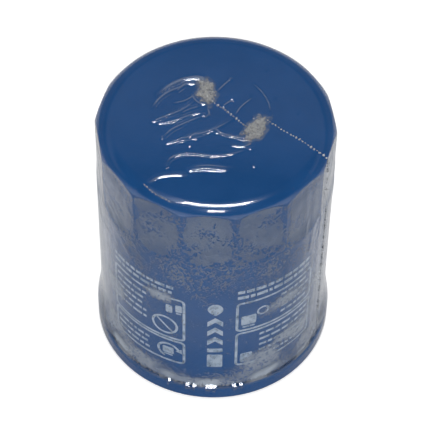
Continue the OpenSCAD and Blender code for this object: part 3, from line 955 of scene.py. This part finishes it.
for name, values in (("air", air), ("crest_and_painted_light", crest_and_painted_light)):
    stored = film.attributes.new(name, "FLOAT", "POINT").data
    stored.foreach_set("value", np.append(values, 0.0).astype(np.float32))
film = bpy.data.objects.new("shrink_film_skin", film)
bpy.context.scene.collection.objects.link(film)
thick = film.modifiers.new("thickness", "SOLIDIFY")
thick.thickness, thick.offset = film_t, 0.0


def film_finish(name, veil_colour, clear, veiled, gloss):
    """Clear film: one surface with a veil and a reflection. The veil is air under it and the film's creases;
    low on the wall it is also painted light, thickened and whitened for light that does not reach there.
    """
    finish, tree, place = new_finish(name)
    air = add(tree, "Attribute", attribute_name="air").outputs["Fac"]
    crest_and_painted_light = add(tree, "Attribute", attribute_name="crest_and_painted_light").outputs["Fac"]
    fine_spots = grain(tree, place, 1500, detail=2, rough=0.6)
    spots = calc(tree, "ADD", fine_spots, calc(tree, "MULTIPLY", grain(tree, place, 500), 0.4))
    edge = calc(tree, "ADD", air, calc(tree, "MULTIPLY", calc(tree, "SUBTRACT", spots, 0.70), 2.6))
    lifted = fade(tree, edge, 0.42, 0.58)
    cloud = grain(tree, place, 110, detail=5)
    veil = calc(tree, "MULTIPLY", lifted, fade(tree, cloud, 0.3, 0.7, veiled * 0.65, veiled * 1.3))
    # the crest attribute adds veil: crease whitening on the ridges, painted light on the low band and the
    # clouds
    veil = calc(tree, "ADD", veil, calc(tree, "MULTIPLY", calc(tree, "POWER", crest_and_painted_light, 2.6), 0.26))
    veil = calc(tree, "ADD", veil, clear)
    facing = add(tree, "LayerWeight", {"Blend": 0.5}).outputs["Facing"]
    mirror = calc(tree, "ADD", 0.045, calc(tree, "MULTIPLY", calc(tree, "POWER", facing, 5.0), 0.6))
    passed = [calc(tree, "SUBTRACT", 1.0, stopped) for stopped in (mirror, veil)]
    seen = calc(tree, "SUBTRACT", 1.0, calc(tree, "MULTIPLY", *passed))
    metal = calc(tree, "DIVIDE", mirror, seen)
    ripple = grain(tree, place, 240, detail=3)
    fine = grain(tree, place, 1300, detail=2)
    # the colour turns pale blue-white with the crest: crease whitening on the ridges, painted light low on
    # the wall
    whitened = tint(tree, fade(tree, crest_and_painted_light, 0.45, 1.0), veil_colour, (0.78, 0.88, 1.0))
    close_finish(
        tree,
        tint(tree, metal, whitened, (1.0, 1.0, 1.0)),
        fade(tree, cloud, 0.3, 0.7, gloss, gloss + 0.06),
        relief(tree, calc(tree, "ADD", ripple, calc(tree, "MULTIPLY", fine, 0.15)), 0.05 * mm, 0.5),
        Metallic=metal,
        Alpha=calc(tree, "MINIMUM", seen, 1.0),
    )
    return finish


film_clear = film_finish("shrink_film", (0.42, 0.53, 0.72), 0.006, 0.29, 0.04)
paint(film, film_clear)
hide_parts("shrink_film")
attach(film, "housing")


# ---- Melted spots and weld line ----
# Where the sealing bar's ends met the film it melted into two crumpled lumps, joined by the weld:
# a line of small beads that runs on across the top, over the corner and down the wall to the hem.


def melted_lump(name, middle, long, wide, lean, high, seed):
    """A crumpled lens of melted film lying on the top, thickest in its middle and torn at its rim."""
    rng = np.random.default_rng(seed)
    count = 64
    waves = [(rng.uniform(0.6, 7.0), rng.uniform(0, 2 * pi), rng.uniform(0, 2 * pi)) for _ in range(26)]
    points, rings = [], 26
    for layer in (1, -1):
        for i in range(rings + 1):
            for k in range(count):
                a = 2 * pi * k / count
                edge = 1 + 0.10 * sin(2 * a + seed) + 0.08 * sin(5 * a + 2 * seed) + 0.06 * sin(9 * a)
                x, y = long * i / rings * edge * cos(a), wide * i / rings * edge * sin(a)
                wavy = [sin(n * (x * cos(d) + y * sin(d)) + p) / (0.8 + 0.35 * n) for n, d, p in waves]
                rough = sum(wavy) / 3.2
                fall = (1 - (i / rings) ** 2) ** 0.5
                z = high * fall * (0.55 + 0.5 * abs(rough)) if layer > 0 else 0.02
                c, s = cos(radians(lean)), sin(radians(lean))
                px, py = middle[0] + x * c - y * s, middle[1] + x * s + y * c
                base = can_hi.z / mm - crown_h / mm * (px**2 + py**2) / (crown_r / mm) ** 2 + 0.1
                points.append((px * mm, py * mm, (base + z) * mm))
    start = (rings + 1) * count
    faces = []
    for base, flip in ((0, 1), (start, -1)):
        for i in range(rings):
            for k in range(count):
                a, b = base + i * count + k, base + i * count + (k + 1) % count
                faces.append((a, b, b + count, a + count)[::flip])
    rim = rings * count
    faces += [
        (rim + k, rim + (k + 1) % count, start + rim + (k + 1) % count, start + rim + k)
        for k in range(count)
    ]
    lump = from_arrays(name, points, faces)
    body = [1 - ((k % start) // count) / rings for k in range(len(points))]
    lump.data.attributes.new("body", "FLOAT", "POINT").data.foreach_set("value", body)
    work = bmesh.new()
    work.from_mesh(lump.data)
    bmesh.ops.remove_doubles(work, verts=work.verts, dist=1e-7)
    work.to_mesh(lump.data)
    work.free()
    return lump


melt, tree, place = new_finish("melted_film")
folds = grain(tree, place, 700, detail=6, rough=0.7)
streaks = grain(tree, place, 1800, detail=3)
body = add(tree, "Attribute", attribute_name="body").outputs["Fac"]
streaked = calc(tree, "ADD", folds, calc(tree, "MULTIPLY", streaks, 0.4))
worn = calc(tree, "ADD", fade(tree, body, 0.0, 0.55, -0.22, 0.06), streaked)
close_finish(
    tree,
    tint(tree, folds, (0.42, 0.43, 0.44), (0.95, 0.95, 0.93)),
    fade(tree, streaks, 0.3, 0.7, 0.03, 0.16),
    relief(tree, folds, 0.35 * mm),
    Alpha=fade(tree, worn, 0.48, 0.88, 0.04, 0.68),
)
lumps = [
    melted_lump("melted_spot_left", (-3.2, 9.6), 5.6, 3.3, 112, 0.9, 3),
    melted_lump("melted_spot_right", (10.9, -2.9), 6.6, 3.0, 60, 0.9, 5),
]
for lump in lumps:
    paint(lump, melt)
    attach(lump, "housing")


def lift_to_film(line):
    """Lays a line in millimetres onto the film: across the top, over the edge and down the wall."""
    run = np.linalg.norm(np.diff(path, axis=0), axis=1)
    gone = path[0, 0] + np.r_[0, np.cumsum(run)]
    reach, a = np.hypot(*line.T) * mm, np.arctan2(line[:, 1], line[:, 0])
    r, z = np.interp(reach, gone, path[:, 0]), np.interp(reach, gone, path[:, 1])
    r = r - 0.8 * flat_depth(a, z, r - film_gap)
    return np.c_[r * np.cos(a), r * np.sin(a), z]


# millimetres between the points along a weld line
weld_step = 0.14


def beaded_weld(name, line, seed, thin, thick, bead_step=1.0):
    """A weld line of melted beads: a fine uneven thread with a bead every bead_step millimetres or so."""
    rng = np.random.default_rng(seed)
    spine = curve_through(line, 400)
    gaps = np.r_[0, np.cumsum(np.linalg.norm(np.diff(spine, axis=0), axis=1))]
    count = max(8, int(gaps[-1] / weld_step))
    even = np.c_[[np.interp(np.linspace(0, gaps[-1], count), gaps, spine[:, i]) for i in (0, 1)]].T
    even += rng.normal(0, 0.09, even.shape)
    beat = np.arange(count) * 2 * pi * weld_step / bead_step + np.cumsum(rng.normal(0, 0.35, count))
    uneven = np.repeat(rng.uniform(0.35, 1.2, count // 5 + 1), 5)[:count]
    radii = thin + (thick - thin) * np.clip(np.sin(beat), 0, 1) ** 1.5 * uneven
    return wire(name, lift_to_film(even), radii * mm, sides=8)


beads, tree, place = new_finish("weld_beads")
milky = grain(tree, place, 2400, detail=3)
close_finish(
    tree,
    tint(tree, milky, (0.70, 0.75, 0.80), (0.95, 0.97, 1.0)),
    fade(tree, milky, 0.3, 0.7, 0.1, 0.3),
    relief(tree, milky, 0.05 * mm),
    Alpha=fade(tree, milky, 0.35, 0.6, 0.6, 1.0),
)

weld_lines = {
    "weld_line_between_spots": ([(-1.6, 6.2), (3.1, 2.6), (5.9, -0.1), (8.2, -2.4)], 5, 0.01, 0.42),
    "weld_line_to_the_hem": (
        [(13.6, 0.6), (18.7, -3.1), (22.8, -5.6), (30.0, -10.2), (48.0, -16.5), (102.0, -35.0)],
        9, 0.01, 0.38,
    ),
    "weld_line_on_the_fold": ([(-17.6, -23.6), (-14.4, -26.4), (-10.0, -28.9)], 12, 0.02, 0.22),
}
for name, (line, seed, thin, bead) in weld_lines.items():
    weld = beaded_weld(name, line, seed, thin, bead)
    paint(weld, beads)
    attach(weld, "housing")


# ---- Floor, light and camera ----
# A plain white table in a soft white room, with a broad lamp overhead and a small one towards the front.
# The table throws less light back at the can's front than at its sides.

floor_mesh = bpy.data.meshes.new("floor")
floor_mesh.from_pydata([(x, y, 0) for x, y in ((-3, -3), (3, -3), (3, 3), (-3, 3))], [], [(0, 1, 2, 3)])
floor = bpy.data.objects.new("floor", floor_mesh)
bpy.context.scene.collection.objects.link(floor)
white, tree, place = new_finish("white_table")
plain = add(tree, "BsdfDiffuse", {"Color": (0.62, 0.62, 0.62, 1)}).outputs[0]
rays = add(tree, "LightPath").outputs
near_far = add(tree, "SeparateXYZ", {0: place}).outputs[1]
mirrored = calc(tree, "MULTIPLY", rays["Is Glossy Ray"], fade(tree, near_far, -0.038, 0.015, 0.0, 0.42))
shine = calc(tree, "ADD", mirrored, calc(tree, "MULTIPLY", rays["Is Diffuse Ray"], 0.46))
shine = calc(tree, "ADD", shine, calc(tree, "MULTIPLY", rays["Is Camera Ray"], 0.90))
glow = add(tree, "Emission", {"Color": (1.0, 1.0, 1.0, 1), "Strength": shine}).outputs[0]
add(tree, "OutputMaterial", {"Surface": add(tree, "AddShader", {0: plain, 1: glow}).outputs[0]})
paint(floor, white)


def lamp(name, place, aim, width, depth, watts):
    light = bpy.data.lights.new(name, "AREA")
    light.shape, light.size, light.size_y, light.energy = "RECTANGLE", width, depth, watts
    holder = bpy.data.objects.new(name, light)
    bpy.context.scene.collection.objects.link(holder)
    aimed = (Vector(place) - Vector(aim)).to_track_quat("Z", "Y").to_matrix().to_4x4()
    holder.matrix_world = Matrix.Translation(place) @ aimed
    return holder


lamp("overhead", (0.0, 0.13, 0.78), (0, 0, 0.08), 0.22, 0.07, 1.6)
lamp("small_front", (0.02, -0.22, 0.72), (0, 0, 0.05), 0.09, 0.09, 0.46)

room = bpy.data.worlds.new("white_room")
bpy.context.scene.world = room
room.use_nodes = True
tree = room.node_tree
tree.nodes.clear()
sides = add(tree, "SeparateXYZ", {0: add(tree, "TexCoord").outputs["Generated"]})
front_light = fade(tree, sides.outputs[1], 0.1, -0.5, 0.09, 0.55)
wall_light = calc(tree, "MULTIPLY", front_light, fade(tree, sides.outputs[2], 0.50, 0.72, 1.0, 0.06))
wall_light = calc(tree, "ADD", wall_light, fade(tree, sides.outputs[2], 0.08, 0.25, 0.45, 0.0))
band_edges = [fade(tree, sides.outputs[2], 0.64, 0.72), fade(tree, sides.outputs[2], 0.745, 0.815, 0.14, 0.0)]
band = calc(tree, "MULTIPLY", *band_edges)
back_band = calc(tree, "MULTIPLY", band, fade(tree, sides.outputs[1], 0.0, 0.3))
wall_light = calc(tree, "ADD", wall_light, back_band)
light = add(tree, "Background", {"Color": (1.0, 1.0, 1.0, 1), "Strength": wall_light})
add(tree, "OutputWorld", {"Surface": light.outputs[0]})

middle = Vector((0, 0, (cad_box[0].z + cad_box[1].z) / 2))
distance, rise, turn, lean = 0.590, radians(51.75), radians(2.6), radians(1.0)
focal_share = 2068 / 435
view = Vector((sin(turn) * cos(rise), -cos(turn) * cos(rise), sin(rise)))
camera = bpy.data.objects.new("camera", bpy.data.cameras.new("camera"))
bpy.context.scene.collection.objects.link(camera)
camera.data.sensor_width = 36.0
camera.data.lens = 36.0 * focal_share
camera.data.clip_start = 0.01
camera.data.shift_x, camera.data.shift_y = 0.0076, 0.0012
facing = view.to_track_quat("Z", "Y").to_matrix().to_4x4()
camera.matrix_world = Matrix.Translation(middle + distance * view) @ facing @ Matrix.Rotation(lean, 4, "Z")
bpy.context.scene.camera = camera
bpy.context.scene.view_settings.view_transform = "Standard"
